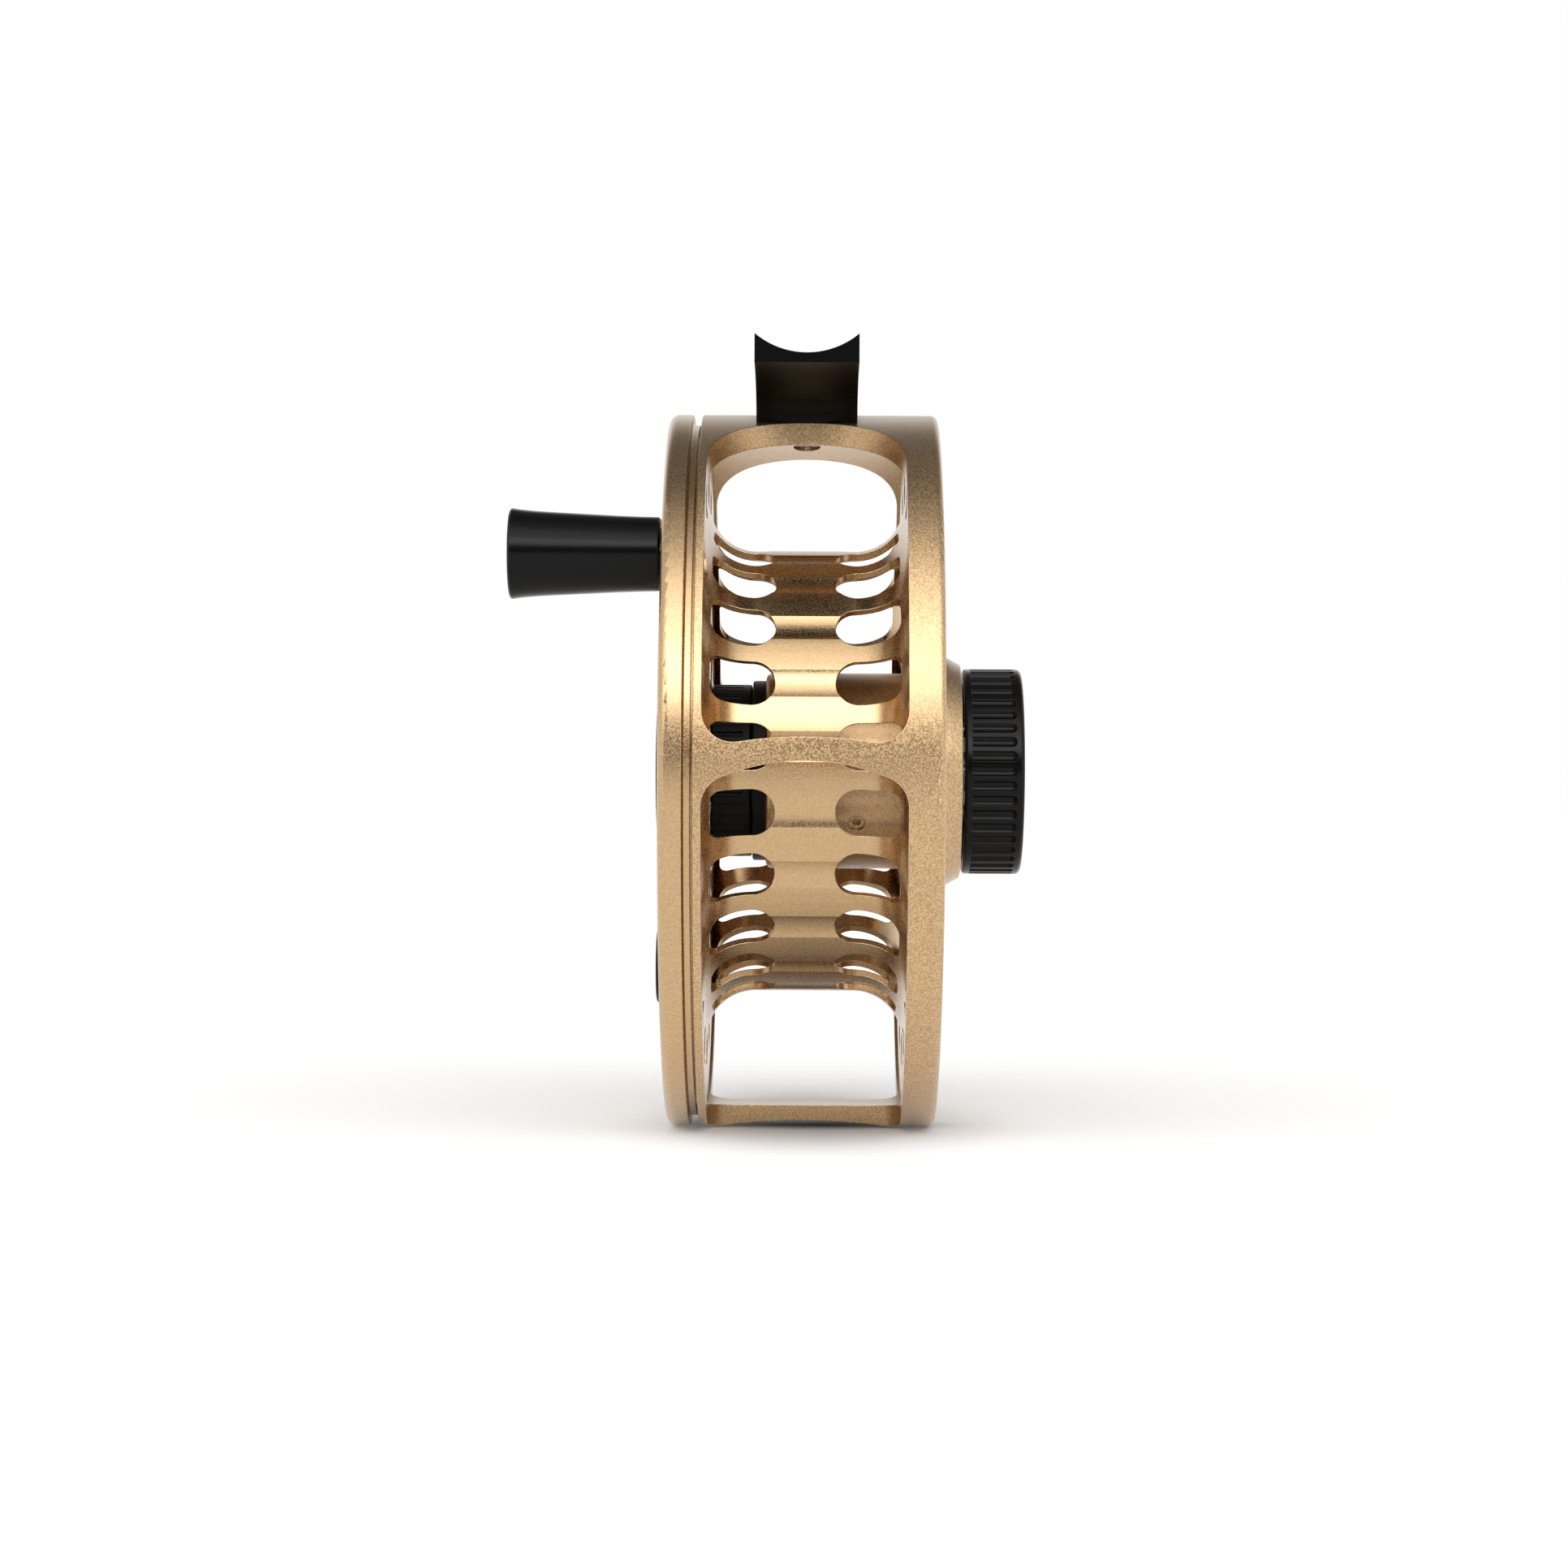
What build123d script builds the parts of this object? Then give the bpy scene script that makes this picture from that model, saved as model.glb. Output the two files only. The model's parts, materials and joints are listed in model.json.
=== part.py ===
from build123d import *
from math import acos, asin, cos, degrees, pi, radians, sin, sqrt
import os

# A large-arbor fly reel with a sealed disc drag, in millimetres.
# The reel is modelled about its spin axis X: the handle is on the -X side and the
# drag knob on the +X side. +Z points to the rod and the foot lies along Y.
# Every piece is saved with the origin at the middle of the foot's saddle.
# Angles round the axis are measured from the front (-Y) towards the foot (+Z).

# ---- driving dimensions ----
REEL_RADIUS = 45.0  # outside of the frame rings and of the palming rim
WINDOW_WIDTH = 24.1  # open width between the two frame rings
CAGE_WALL = 2.6  # radial thickness of the rings and pillars
LEFT_RING = 1.0
RIGHT_RING = 4.3
FOOT_HEIGHT = 4.6  # top pillar's outside to the saddle's lowest line

# fits
RUN = 0.05  # running clearance on a radius
SLIP = 0.1  # clearance between faces of pieces that move past each other
RIM_GAP = 0.3  # palming rim to the left frame ring
FLANGE_GAP = 0.6  # spool flange inside the frame rings
FLANGE_INSET = 0.35  # spool flange's face behind the window's edge

# pillars: a wide one under the foot, and slim ones at the sides and the bottom
TOP_FRONT = 13.4  # front of the top pillar from mid-depth
TOP_BACK = 12.2
BOTTOM_HALF = 4.4
SLIM_CORNER = 3.7
SIDE_PILLAR_TOP = 3.8  # height of its upper edge at mid-width
SIDE_PILLAR_BOTTOM = 1.0
SIDE_TOP_DROP = 1.5  # how far the upper edge falls towards the rings
SIDE_BOTTOM_DROP = 3.1
SCOOP_DEPTH = 0.9  # hollow across the bottom pillar

# backplate, boss and ports
BACKPLATE = 2.6
BOSS_LENGTH = 3.2
BOSS_RADIUS = 13.5
BOSS_FOOT_RADIUS = 15.2
PORT_COUNT = 14
PORT_IN_RADIUS = 2.0
PORT_OUT_RADIUS = 4.4
PORT_FROM_BOSS = 3.3
PORT_FROM_RING = 3.5

# spool
FLANGE = 0.8
ARBOR_RADIUS = 27.9
ARBOR_WALL = 0.8
ARBOR_FILLET = 6.3
HOLE_COUNT = 22
HOLE_PHASE = 5.75
HOLE_INNER = 3.65  # inner tip of each arbor hole from mid-width
HOLE_OUTER = 11.5
HOLE_WIDTH = 5.7
HOLE_CORNER = 1.3
FLUTE_WIDTH = 4.0
FLUTE_DEPTH = 0.35
LIGHTENING_WIDTH = 5.4
LIGHTENING_FROM_ARBOR = 4.6
HUB_PORT_IN_RADIUS = 1.6
HUB_PORT_OUT_RADIUS = 2.9
RIM_WIDTH = 2.9
RIM_ROUND = 1.2
RIM_LIP = 6.0
STEP_DROP = 1.3
PLATE = 2.4
HUB_PROUD = 1.4  # how far the hub's face stands out of the plate
HUB_RADIUS = 11.6
HUB_PORT_COUNT = 11
COUNTERWEIGHT_RADIUS = 5.0
COUNTERWEIGHT_PROUD = 2.6

# spindle, drive hub and its bearing
SPINDLE_RADIUS = 2.5
BEARING_WIDTH = 2.5
BEARING_RADIUS = 6.0
BALL_RADIUS = 0.8
BALL_COUNT = 9
NOSE_RADIUS = 7.0
CAP_THREAD_RADIUS = 6.6
DRUM_RADIUS = 10.9
DRUM_LENGTH = 5.0
RIB_COUNT = 44
RIB_RADIUS = 0.36
DRUM_WALL = 1.4  # outside the click teeth
CLUTCH_SEAT_WALL = 0.8
CLICK_TEETH = 36
CLICK_TOOTH = 0.4
PAWL_ANGLE = 118.0
SLEEVE_RADIUS = 4.0
ROLLER_RADIUS = 0.8
ROLLER_COUNT = 12
CUP_WALL = 0.6
SET_SCREW_X = 6.4
SET_SCREW_ANGLE = -32
SET_SCREW_SOCKET = 0.55
LIGHTENING_BORDER = 1.4
DRIVE_PIN_COUNT = 3
DRIVE_PIN_RADIUS = 1.0
DRIVE_PIN_CIRCLE = 8.9

# drag housing and stack
HOUSING_RADIUS = 12.4
HOUSING_WALL = 1.8
HOUSING_LENGTH = 18.75
HOUSING_FLOOR = 2.2
COVER_STEP = 1.0  # cover's flange inside the housing's outside
COVER_FLANGE = 1.65
COVER_SPIGOT = 2.0
DISC_GAP = 0.7  # carbon discs inside the housing's bore
STEEL_DISC = 1.0
CARBON_DISC = 1.2
STEEL_COUNT = 4
CARBON_COUNT = 3
TAB_COUNT = 4
TAB_WIDTH = 2.4
PRESSURE_PLATE = 2.0
PUSH_PIN_RADIUS = 0.9
PUSH_PIN_CIRCLE = 6.0
PUSH_PIN_COUNT = 3
THREAD_PITCH = 0.7
KNOB_TURN = 270.0
SLACK = 0.6  # free play that the knob takes up
HOUSING_SCREW_COUNT = 4
HOUSING_SCREW_CIRCLE = 8.4
HOUSING_SCREW_HEAD = 1.3
THRUST_WASHER = 0.8
SPRING_COUNT = 3
SPRING_HEIGHT = 0.65
SPRING_STEEL = 0.4
NUT_LENGTH = 1.7
DETENT_CIRCLE = 10.4
DETENT_BALL = 0.75

# knob
KNOB_RADIUS = 13.0
KNOB_LENGTH = 7.4
KNOB_WALL = 1.7
KNOB_FLUTES = 44
KNOB_COLLAR = 0.9
FLUTE_RUNOUT = 1.6
KNOB_GAP = 0.3
HEX_ACROSS = 10.0

# handle
HANDLE_INSET = 9.9  # handle's axis inside the palming rim's edge
HANDLE_ANGLE = 47.9
HANDLE_LENGTH = 18.3
HANDLE_BASE = 4.5
HANDLE_END = 5.5
HANDLE_STANDOFF = 0.4
POST_RADIUS = 2.0
BUSHING_WALL = 0.8

# foot
FOOT_WIDTH = 12.5
FOOT_LENGTH = 64.0
SADDLE_RADIUS = 9.7
FOOT_TIP = 1.2
FOOT_SCREW_SPACING = 14.4
SCREW_RADIUS = 1.0
SCREW_HEAD_RADIUS = 1.6
SCREW_HEAD = 1.1
HEAD_CLEARANCE = 0.15

# ---- places worked out from them ----
half_window = WINDOW_WIDTH / 2
left_ring_face = -half_window - LEFT_RING
right_face = half_window + RIGHT_RING
cage_bore = REEL_RADIUS - CAGE_WALL
flange_radius = cage_bore - FLANGE_GAP
half_bay = half_window + FLANGE_INSET
foot_rise = REEL_RADIUS + FOOT_HEIGHT
lip_radius = REEL_RADIUS - RIM_LIP
housing_start = right_face - BACKPLATE - HOUSING_LENGTH
handle_radius = REEL_RADIUS - HANDLE_INSET
skirt_root = DRUM_RADIUS - DRUM_WALL
backplate_face = right_face - BACKPLATE
boss_face = right_face + BOSS_LENGTH
step_face = left_ring_face - RIM_GAP
rim_left = step_face - 0.9 - RIM_WIDTH
rim_right = rim_left + RIM_WIDTH
plate_left = -half_bay - PLATE
arbor_bore = ARBOR_RADIUS - ARBOR_WALL
hole_pitch = 360 / HOLE_COUNT
cover_left = housing_start - COVER_FLANGE
drum_right = cover_left - SLIP
drum_left = drum_right - DRUM_LENGTH
hub_right = drum_left - SLIP
hub_left = plate_left - HUB_PROUD
nose_shoulder = hub_left + 0.5
thread_end = nose_shoulder - 2.2
cap_right = hub_left - SLIP
cap_left = thread_end - 0.8
bearing_right = drum_left - 0.3
bearing_left = bearing_right - BEARING_WIDTH
spindle_left = bearing_left - 1.0
housing_bore = HOUSING_RADIUS - HOUSING_WALL
cover_radius = HOUSING_RADIUS - COVER_STEP
disc_radius = housing_bore - DISC_GAP
floor_left = backplate_face - HOUSING_FLOOR
spigot_right = housing_start + COVER_SPIGOT
cup_bore = SLEEVE_RADIUS + RUN + 2 * ROLLER_RADIUS
cup_radius = cup_bore + CUP_WALL
stack_left = spigot_right
stack_length = STEEL_COUNT * STEEL_DISC + CARBON_COUNT * CARBON_DISC + 2 * CARBON_COUNT * SLIP
stack_right = stack_left + stack_length
pressure_left = stack_right + SLACK
pressure_right = pressure_left + PRESSURE_PLATE
sleeve_left = bearing_right + 0.35
sleeve_right = stack_right + 0.4
knob_travel = THREAD_PITCH * KNOB_TURN / 360
knob_left = boss_face + KNOB_GAP
knob_right = knob_left + KNOB_LENGTH
handle_y = -handle_radius * cos(radians(HANDLE_ANGLE))
handle_z = handle_radius * sin(radians(HANDLE_ANGLE))
handle_right = rim_left - HANDLE_STANDOFF
handle_left = handle_right - HANDLE_LENGTH
foot_screw_y = (-FOOT_SCREW_SPACING / 2, FOOT_SCREW_SPACING / 2)


# ---- helpers ----
def save(shape, name):
    """Move a piece from the spin axis to the saddle's origin and write it."""
    export_step(Pos(0, 0, -foot_rise) * shape, f"parts/{name}.step")


def rod(x0, x1, radius, y=0.0, z=0.0):
    """A round bar along X from x0 to x1."""
    bar = Rot(0, 90, 0) * Cylinder(radius, abs(x1 - x0))
    return Pos((x0 + x1) / 2, y, z) * bar


def tube(x0, x1, outer, inner, y=0.0, z=0.0):
    reach = 1.0
    return rod(x0, x1, outer, y, z) - rod(min(x0, x1) - reach, max(x0, x1) + reach, inner, y, z)


def group(solids):
    """Identical loose pieces as one shape."""
    return Part() + solids


def turned(*corners):
    """Turn a closed outline of (x, radius[, rounding]) corners about the spin axis."""
    face = make_face(Polyline(*[(c[0], c[1]) for c in corners], close=True))
    for corner in corners:
        if len(corner) == 3:
            near = face.vertices().sort_by_distance((corner[0], corner[1], 0))[0]
            face = fillet(near, corner[2])
    return revolve(face, Axis.X)


def turn(angle, shape):
    """Turn a piece round the spin axis, from the front towards the foot."""
    return Rot(-angle, 0, 0) * shape


def around(count, shape, start=0.0):
    """Copies of a shape spaced evenly round the spin axis."""
    return [turn(start + i * 360 / count, shape) for i in range(count)]


def front_plate(outline, depth_from, depth_to):
    """Extrude an (x, z) outline along -Y, between two distances in front of the axis."""
    solid = extrude(Plane.XZ * outline, depth_to - depth_from)
    return Pos(0, -depth_from, 0) * solid


def side_plate(outline, x0, x1):
    """Extrude an outline drawn as (distance in front, height) between x0 and x1."""
    plane = Plane(origin=(x0, 0, 0), x_dir=(0, -1, 0), z_dir=(-1, 0, 0))
    return Pos(x1 - x0, 0, 0) * extrude(plane * outline, x1 - x0)


def sector(x0, x1, low, high, reach):
    """A wedge about the spin axis between two angles."""
    middle, half = (low + high) / 2, (high - low) / 2
    far = reach / cos(radians(half))
    corners = [(0, 0), (far, middle - half), (far, middle + half)]
    points = [(r * cos(radians(a)), r * sin(radians(a))) for r, a in corners[1:]]
    return side_plate(make_face(Polyline((0, 0), *points, close=True)), x0, x1)


def slot_cutter(inner, inner_radius, outer, outer_radius, x0, x1):
    """A teardrop cutter along X, lying from an inner to an outer distance in front."""
    shape = make_hull(
        [
            *(Pos(inner, 0) * Circle(inner_radius)).edges(),
            *(Pos(outer, 0) * Circle(outer_radius)).edges(),
        ]
    )
    return side_plate(shape, x0, x1)


# ---- frame ----
def side_window_end(mid, drop, outward):
    """The end of a window next to a slim side pillar: a bowed edge with round corners."""
    height = 9.0 * outward
    low = mid - drop
    edges = [
        Line((-half_window, mid + height), (-half_window, low)),
        ThreePointArc((-half_window, low), (0, mid), (half_window, low)),
        Line((half_window, low), (half_window, mid + height)),
        Line((half_window, mid + height), (-half_window, mid + height)),
    ]
    face = make_face(edges)
    corners = [v for v in face.vertices() if abs(v.Y - low) < 1e-6]
    face = fillet(corners, SLIM_CORNER)
    return front_plate(face, cage_bore - 8, REEL_RADIUS + 5)


def upright_end(edge, corner, z0, z1):
    """The end of a window against the top or bottom pillar, milled straight along Z."""
    depth = REEL_RADIUS + 5 - edge
    face = Pos(0, -edge - depth / 2) * Rectangle(2 * half_window, depth)
    near = face.vertices().sort_by(Axis.Y)[-2:]
    return Pos(0, 0, z0) * extrude(fillet(near, corner), z1 - z0)


def windows(top_edge):
    """Both cage windows in front, from the side pillar to the top and bottom pillars."""
    reach = 8.0
    upper_start = degrees(asin((SIDE_PILLAR_TOP + reach) / REEL_RADIUS))
    lower_start = degrees(asin((SIDE_PILLAR_BOTTOM - reach) / REEL_RADIUS))
    top_corner = half_window - 0.05
    top_end = degrees(acos((top_edge + top_corner + 1) / cage_bore))
    bottom_end = -degrees(acos((BOTTOM_HALF + SLIM_CORNER + 1) / cage_bore))
    far = REEL_RADIUS + 5
    return (
        side_window_end(SIDE_PILLAR_TOP, SIDE_TOP_DROP, 1)
        + sector(-half_window, half_window, upper_start, top_end, far)
        + upright_end(top_edge, top_corner, cage_bore * sin(radians(top_end)) - 2, far)
        + side_window_end(SIDE_PILLAR_BOTTOM, SIDE_BOTTOM_DROP, -1)
        + sector(-half_window, half_window, bottom_end, lower_start, far)
        + upright_end(BOTTOM_HALF, SLIM_CORNER, -far, cage_bore * sin(radians(bottom_end)) + 1)
    )


def make_frame():
    left_ring = turned(
        (left_ring_face, cage_bore),
        (left_ring_face, REEL_RADIUS, 0.2),
        (-half_window + 2, REEL_RADIUS),
        (-half_window + 2, cage_bore),
    )
    body = turned(
        (-half_window, cage_bore),
        (-half_window, REEL_RADIUS),
        (right_face, REEL_RADIUS, 0.9),
        (right_face, BOSS_FOOT_RADIUS, 0.8),
        (right_face + 1.6, BOSS_RADIUS + 0.9, 0.6),
        (boss_face, BOSS_RADIUS, 0.25),
        (boss_face, 0),
        (backplate_face, 0),
        (backplate_face, cage_bore),
    )
    body = body + left_ring
    body -= windows(TOP_FRONT)
    body -= mirror(windows(TOP_BACK), about=Plane.XZ)
    scoop_radius = (half_window**2 + SCOOP_DEPTH**2) / (2 * SCOOP_DEPTH)
    scoop = Rot(90, 0, 0) * Cylinder(scoop_radius, REEL_RADIUS)
    body -= Pos(0, 0, SCOOP_DEPTH - REEL_RADIUS - scoop_radius) * scoop
    port_in = BOSS_FOOT_RADIUS + PORT_FROM_BOSS + PORT_IN_RADIUS
    port_out = cage_bore - PORT_FROM_RING - PORT_OUT_RADIUS
    ports = slot_cutter(
        port_in, PORT_IN_RADIUS, port_out, PORT_OUT_RADIUS, backplate_face - 1, right_face + 1
    )
    body -= around(PORT_COUNT, ports, 180 / PORT_COUNT)
    body -= rod(backplate_face - 1, boss_face + 1, SPINDLE_RADIUS)
    pin_hole = rod(backplate_face - 1, boss_face + 1, PUSH_PIN_RADIUS + RUN, -PUSH_PIN_CIRCLE)
    body -= around(PUSH_PIN_COUNT, pin_hole)
    body -= housing_screws(housing_screw(HEAD_CLEARANCE, BOSS_LENGTH + 2))
    for y in foot_screw_y:
        body -= foot_screw(y, 0.0, HEAD_CLEARANCE)
    return body


# ---- foot ----
def foot_screw(y, slack, head_slack):
    """A screw that holds the foot, put in from inside the top pillar."""
    seat = sqrt(cage_bore**2 - y**2) + SCREW_HEAD + 0.15
    shank = Pos(0, y, seat + 2.8) * Cylinder(SCREW_RADIUS + slack, 5.6)
    depth = SCREW_HEAD + (2.0 if head_slack else 0)
    head = Pos(0, y, seat - depth / 2) * Cylinder(SCREW_HEAD_RADIUS + head_slack, depth)
    return shank + head


def make_foot_screws():
    socket = extrude(RegularPolygon(0.75, 6), 0.7)
    screws = []
    for y in foot_screw_y:
        seat = sqrt(cage_bore**2 - y**2) + 0.15
        screws.append(foot_screw(y, 0.0, 0.0) - Pos(0, y, seat - 0.01) * socket)
    return group(screws)


def make_foot():
    top = foot_rise + SADDLE_RADIUS - sqrt(SADDLE_RADIUS**2 - (FOOT_WIDTH / 2) ** 2)
    half = FOOT_LENGTH / 2
    front, back = TOP_FRONT - 0.1, TOP_BACK - 0.1
    front_seat, back_seat = sqrt(REEL_RADIUS**2 - front**2), sqrt(REEL_RADIUS**2 - back**2)
    tip_low = foot_rise - FOOT_TIP
    edges = [
        Line((-half, top), (half, top)),
        Line((half, top), (half, tip_low)),
        Bezier(
            (half, tip_low), (half - 9, tip_low - 0.4), (front + 1.5, front_seat + 4.0), (front, front_seat)
        ),
        ThreePointArc((front, front_seat), (0, REEL_RADIUS), (-back, back_seat)),
        Bezier(
            (-back, back_seat), (-back - 1.5, back_seat + 4.0), (9 - half, tip_low - 0.4), (-half, tip_low)
        ),
        Line((-half, tip_low), (-half, top)),
    ]
    body = side_plate(make_face(edges), -FOOT_WIDTH / 2, FOOT_WIDTH / 2)
    saddle = Rot(90, 0, 0) * Cylinder(SADDLE_RADIUS, FOOT_LENGTH + 2)
    body -= Pos(0, 0, foot_rise + SADDLE_RADIUS) * saddle
    for y in foot_screw_y:
        body -= foot_screw(y, 0.0, 0.0)
    return body


# ---- drag housing ----
def housing_screw(slack, head_length):
    """A cap screw from the boss through the backplate into the housing floor."""
    head_left = right_face - 0.4
    shank = rod(floor_left + 0.3, head_left + 0.1, 0.8, -HOUSING_SCREW_CIRCLE)
    head = rod(head_left, head_left + head_length, HOUSING_SCREW_HEAD + slack, -HOUSING_SCREW_CIRCLE)
    return shank + head


def housing_screws(shape):
    return around(HOUSING_SCREW_COUNT, shape, 180 / HOUSING_SCREW_COUNT)


def make_housing_screws():
    socket = rod(right_face + 0.3, right_face + 1.2, 0.6, -HOUSING_SCREW_CIRCLE)
    return group(housing_screws(housing_screw(0, 1.4) - socket))


def tab(x0, x1, radius, depth):
    """A block that stands out of a disc's edge."""
    block = Box(x1 - x0, depth + 1.0, TAB_WIDTH)
    return Pos((x0 + x1) / 2, -(radius + (depth - 1.0) / 2), 0) * block


def make_housing():
    body = turned(
        (housing_start, housing_bore),
        (housing_start, HOUSING_RADIUS, 0.9),
        (backplate_face, HOUSING_RADIUS),
        (backplate_face, SPINDLE_RADIUS),
        (floor_left, SPINDLE_RADIUS),
        (floor_left, housing_bore),
    )
    keyway = Box(floor_left - stack_left, 2.0, TAB_WIDTH + 2 * RUN)
    for i in range(TAB_COUNT):
        body -= turn(90 * i, Pos((stack_left + floor_left) / 2, -housing_bore + 0.1, 0) * keyway)
    pins = rod(floor_left - 1, backplate_face + 1, PUSH_PIN_RADIUS + RUN, -PUSH_PIN_CIRCLE)
    body -= around(PUSH_PIN_COUNT, pins)
    body -= housing_screws(housing_screw(0, 1.4))
    body -= turn(SET_SCREW_ANGLE, set_screw(0.0))
    return body


def set_screw(shorter):
    """A grub screw in the side of the housing, in front of the spin axis."""
    length = HOUSING_WALL - shorter
    bar = Rot(90, 0, 0) * Cylinder(1.1, length)
    return Pos(SET_SCREW_X, -(HOUSING_RADIUS - HOUSING_WALL / 2) + shorter / 2, 0) * bar


def make_set_screw():
    socket = Rot(90, 0, 0) * extrude(RegularPolygon(SET_SCREW_SOCKET, 6), 0.8)
    screw = set_screw(0.3) - Pos(SET_SCREW_X, -(HOUSING_RADIUS - 1.0), 0) * socket
    return turn(SET_SCREW_ANGLE, screw)


def make_cover():
    """The black end cover: a flange with a spigot that closes the housing."""
    bore = SLEEVE_RADIUS + 2.2
    body = turned(
        (cover_left, bore),
        (cover_left, cover_radius, 0.3),
        (housing_start, cover_radius),
        (housing_start, housing_bore),
        (spigot_right, housing_bore),
        (spigot_right, bore),
    )
    ring = tube(housing_start + 0.5, housing_start + 1.5, housing_bore + 1, housing_bore - 0.7)
    pivot = rod(cover_left - 1, cover_left + 1.2, 0.5, *pawl_pivot())
    return body - ring - pivot


def make_cover_o_ring():
    section = Pos(housing_start + 1.0, housing_bore - 0.35) * Circle(0.34)
    return revolve(section, Axis.X)


def make_shaft_seal():
    """A lip seal between the cover's bore and the drag sleeve."""
    bore = SLEEVE_RADIUS + 2.2
    return turned(
        (cover_left + 0.4, bore),
        (spigot_right - 0.4, bore),
        (spigot_right - 0.4, SLEEVE_RADIUS + 1.2),
        (cover_left + 1.2, SLEEVE_RADIUS + RUN),
        (cover_left + 0.7, SLEEVE_RADIUS + RUN),
        (cover_left + 0.4, SLEEVE_RADIUS + 1.2),
    )


# ---- spindle and hub bearing ----
def make_spindle():
    """The fixed steel spindle, with a collar on the housing floor and two threaded ends."""
    stud_right = knob_right - KNOB_WALL - 1.2
    body = turned(
        (spindle_left, 0),
        (spindle_left, SPINDLE_RADIUS, 0.3),
        (floor_left - 1.0, SPINDLE_RADIUS),
        (floor_left - 1.0, SPINDLE_RADIUS + 1.3),
        (floor_left, SPINDLE_RADIUS + 1.3),
        (floor_left, SPINDLE_RADIUS),
        (stud_right, SPINDLE_RADIUS, 0.3),
        (stud_right, 0),
    )
    groove = tube(bearing_left - 0.6, bearing_left, SPINDLE_RADIUS + 1, SPINDLE_RADIUS - 0.4)
    tapped = rod(stud_right - 3.0, stud_right + 1, 0.8)
    return body - groove - tapped


def make_bearing_clip():
    ring = tube(bearing_left - 0.55, bearing_left - 0.05, SPINDLE_RADIUS + 0.9, SPINDLE_RADIUS - 0.4)
    return ring - Pos(bearing_left, 0, -SPINDLE_RADIUS) * Box(3, 2.2, 4)


def race_groove(radius):
    section = Pos((bearing_left + bearing_right) / 2, radius) * Circle(BALL_RADIUS + RUN)
    return revolve(section, Axis.X)


ball_circle = (SPINDLE_RADIUS + BEARING_RADIUS) / 2


def make_bearing_inner():
    ring = tube(bearing_left, bearing_right, ball_circle - 0.45, SPINDLE_RADIUS)
    return ring - race_groove(ball_circle)


def make_bearing_outer():
    ring = tube(bearing_left, bearing_right, BEARING_RADIUS, ball_circle + 0.45)
    return ring - race_groove(ball_circle)


def make_bearing_balls():
    middle = (bearing_left + bearing_right) / 2
    balls = around(BALL_COUNT, Pos(middle, -ball_circle, 0) * Sphere(BALL_RADIUS))
    return group(balls)


# ---- drive hub, clutch and click ----
def click_tooth_gap(x0, x1):
    """A V-shaped gap between two click teeth, in front of the axis."""
    half = pi * skirt_root / CLICK_TEETH * 0.8
    tip = skirt_root + CLICK_TOOTH * 0.1
    face = make_face(
        Polyline((tip - CLICK_TOOTH - 0.3, half), (tip, 0), (tip - CLICK_TOOTH - 0.3, -half), close=True)
    )
    return side_plate(face, x0, x1)


def make_drive_hub():
    """The ribbed drum that the spool slides onto; its nose carries the cap's thread."""
    skirt_left = drum_left + 1.4
    body = turned(
        (thread_end, SPINDLE_RADIUS + 1.4),
        (thread_end, CAP_THREAD_RADIUS, 0.3),
        (nose_shoulder, CAP_THREAD_RADIUS),
        (nose_shoulder, NOSE_RADIUS, 0.2),
        (drum_left, NOSE_RADIUS),
        (drum_left, DRUM_RADIUS, 0.3),
        (drum_right, DRUM_RADIUS, 0.3),
        (drum_right, skirt_root - CLICK_TOOTH),
        (skirt_left, skirt_root - CLICK_TOOTH),
        (skirt_left, cup_radius + CLUTCH_SEAT_WALL),
        (drum_right - 0.6, cup_radius + CLUTCH_SEAT_WALL),
        (drum_right - 0.6, cup_radius),
        (bearing_right, cup_radius),
        (bearing_right, BEARING_RADIUS),
        (bearing_left, BEARING_RADIUS),
        (bearing_left, SPINDLE_RADIUS + 1.4),
    )
    rib = rod(drum_left - 1, drum_right - 1.1, RIB_RADIUS, -DRUM_RADIUS)
    body -= around(RIB_COUNT, rib)
    body -= around(CLICK_TEETH, click_tooth_gap(skirt_left, drum_right + 1))
    pin = rod(drum_left - 1, drum_left + 1.2, DRIVE_PIN_RADIUS, -DRIVE_PIN_CIRCLE)
    body -= around(DRIVE_PIN_COUNT, pin, 90)
    return body


def make_drive_pins():
    pin = rod(drum_left - 2.6, drum_left + 1.2, DRIVE_PIN_RADIUS, -DRIVE_PIN_CIRCLE)
    return group(around(DRIVE_PIN_COUNT, pin, 90))


def make_clutch_cup():
    return tube(bearing_right, drum_right - 0.6, cup_radius, cup_bore)


def clutch_rollers(slack):
    circle = SLEEVE_RADIUS + RUN + ROLLER_RADIUS
    roller = rod(bearing_right + 0.9 - slack, drum_right - 1.3 + slack, ROLLER_RADIUS + slack, -circle)
    return around(ROLLER_COUNT, roller)


def make_clutch_rollers():
    return group(clutch_rollers(-0.02))


def make_clutch_cage():
    ring = tube(bearing_right + 0.4, drum_right - 0.8, cup_bore, SLEEVE_RADIUS + 0.45)
    return ring - clutch_rollers(0.05)


def pawl_pivot():
    """Where the click pawl turns, between the clutch seat and the click teeth."""
    angle = radians(PAWL_ANGLE)
    radius = (cup_radius + CLUTCH_SEAT_WALL + skirt_root - CLICK_TOOTH) / 2
    return -radius * cos(angle), radius * sin(angle)


def make_click_pin():
    y, z = pawl_pivot()
    return rod(cover_left - 1.6, cover_left + 1.2, 0.5, y, z)


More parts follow.
